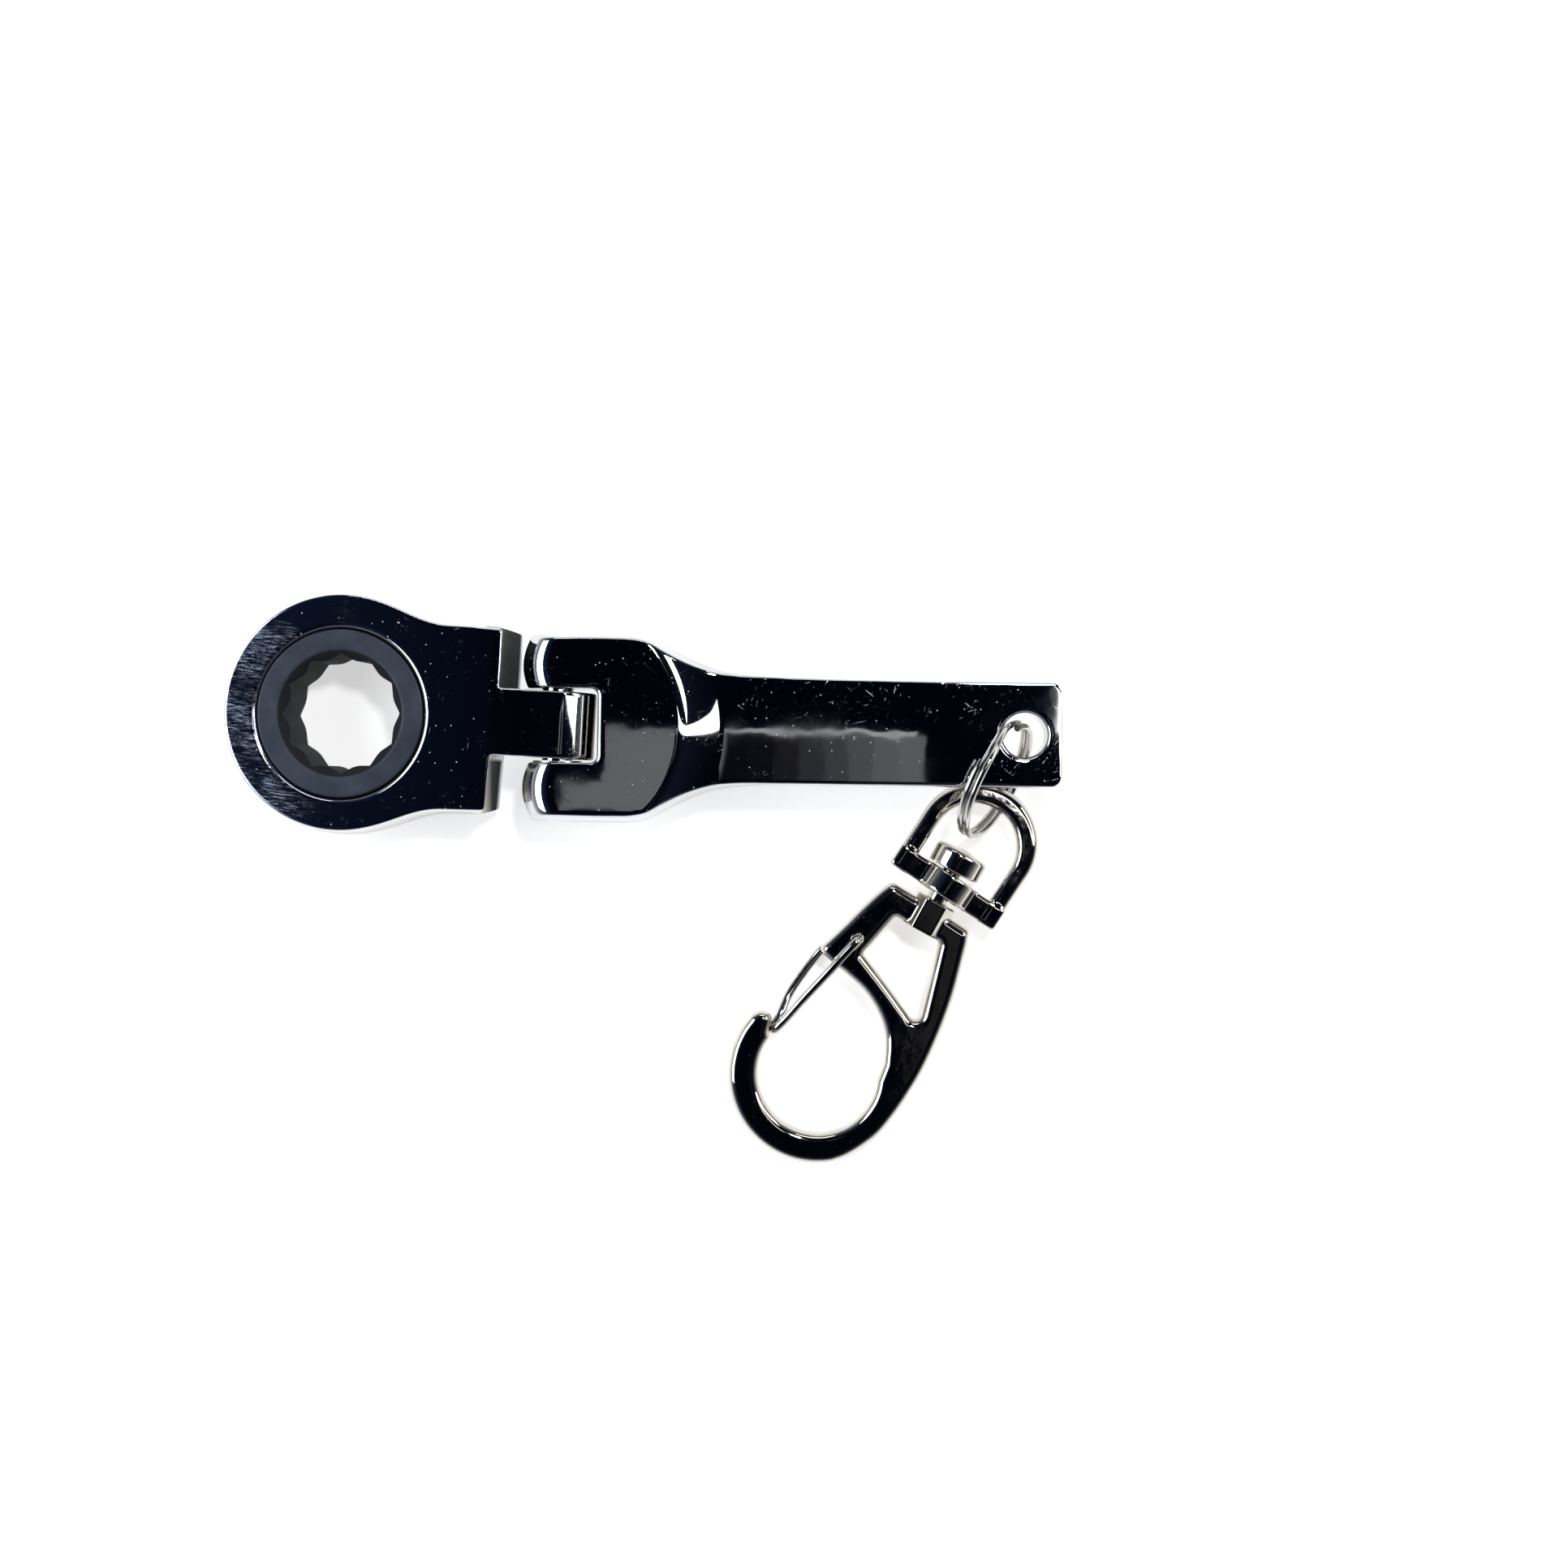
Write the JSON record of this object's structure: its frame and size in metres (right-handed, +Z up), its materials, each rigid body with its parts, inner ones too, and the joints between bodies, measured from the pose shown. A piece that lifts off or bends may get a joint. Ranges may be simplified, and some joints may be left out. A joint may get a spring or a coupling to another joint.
{
  "type": "radiator bleed key",
  "caption": "Flex-head ratcheting ring key for radiator bleed and union nuts, on a split ring and swivel snap hook with a wire gate.",
  "frame": {"origin": "centre of the footprint, on the surface the key lies on", "axes": "+X along the handle from the ratchet head to the eye, +Y across it away from the snap hook, +Z up out of the surface, along the hook's and handle's flat faces' normal"},
  "size_m": [0.0806, 0.0548, 0.012],
  "materials": {
    "polished_chrome": "mirror-polished chrome plate with fine scratches",
    "dark_phosphate": "dark grey phosphate, satin",
    "bright_steel": "bright spring steel",
    "nickel_chrome": "plated die casting, slightly uneven"
  },
  "bodies": {
    "handle": {"handle": "polished_chrome", "hinge_pin": "bright_steel", "friction_washer": "bright_steel"},
    "head": {"head_body": "polished_chrome", "pawl_spring": "bright_steel", "retaining_ring": "bright_steel"},
    "ratchet_ring": {"drive_ring": "dark_phosphate"},
    "ratchet_pawl": {"pawl": "bright_steel"},
    "key_ring": {"split_ring": "bright_steel"},
    "bow": {"swivel_bow": "nickel_chrome"},
    "hook": {"hook_body": "nickel_chrome", "swivel_stud": "nickel_chrome"},
    "gate": {"wire_gate": "bright_steel"}
  },
  "joints": [
    {"name": "flex_hinge", "type": "hinge", "parent": "handle", "child": "head", "pos_m": [-0.0081, 0.015, 0.00636], "axis": [0, 1, 0], "range_deg": [-85.25, 94.75]},
    {"name": "drive_spin", "type": "hinge", "parent": "head", "child": "ratchet_ring", "pos_m": [-0.02856, 0.01598, 0.00466], "axis": [-0.0828, 0, 0.9966], "continuous": true},
    {"name": "pawl_slide", "type": "slide", "parent": "head", "child": "ratchet_pawl", "axis": [0.9957, -0.0419, 0.0827], "range_m": [0, 0.00045], "stiffness_N_per_m": 300, "springref_m": -0.001, "deforming": ["pawl_spring"]},
    {"name": "ring_swing", "type": "hinge", "parent": "handle", "child": "key_ring", "pos_m": [0.0369, 0.0148, 0.00636], "axis": [0, 0, 1], "range_deg": [-10, 175]},
    {"name": "bow_swing", "type": "hinge", "parent": "key_ring", "child": "bow", "pos_m": [0.03166, 0.00531, 0.00606], "axis": [0.0197, 0.0228, 0.9995], "range_deg": [-20, 65]},
    {"name": "clip_swivel", "type": "hinge", "parent": "bow", "child": "hook", "pos_m": [0.02973, 0.0001, 0.00314], "axis": [-0.4643, -0.8843, -0.0488], "continuous": true},
    {"name": "gate_hinge", "type": "hinge", "parent": "hook", "child": "gate", "pos_m": [0.02129, -0.00523, 0.00272], "axis": [-0.0227, -0.0433, 0.9988], "range_deg": [0, 28], "stiffness_Nm_per_rad": 0.02, "springref_deg": -11.46}
  ]
}
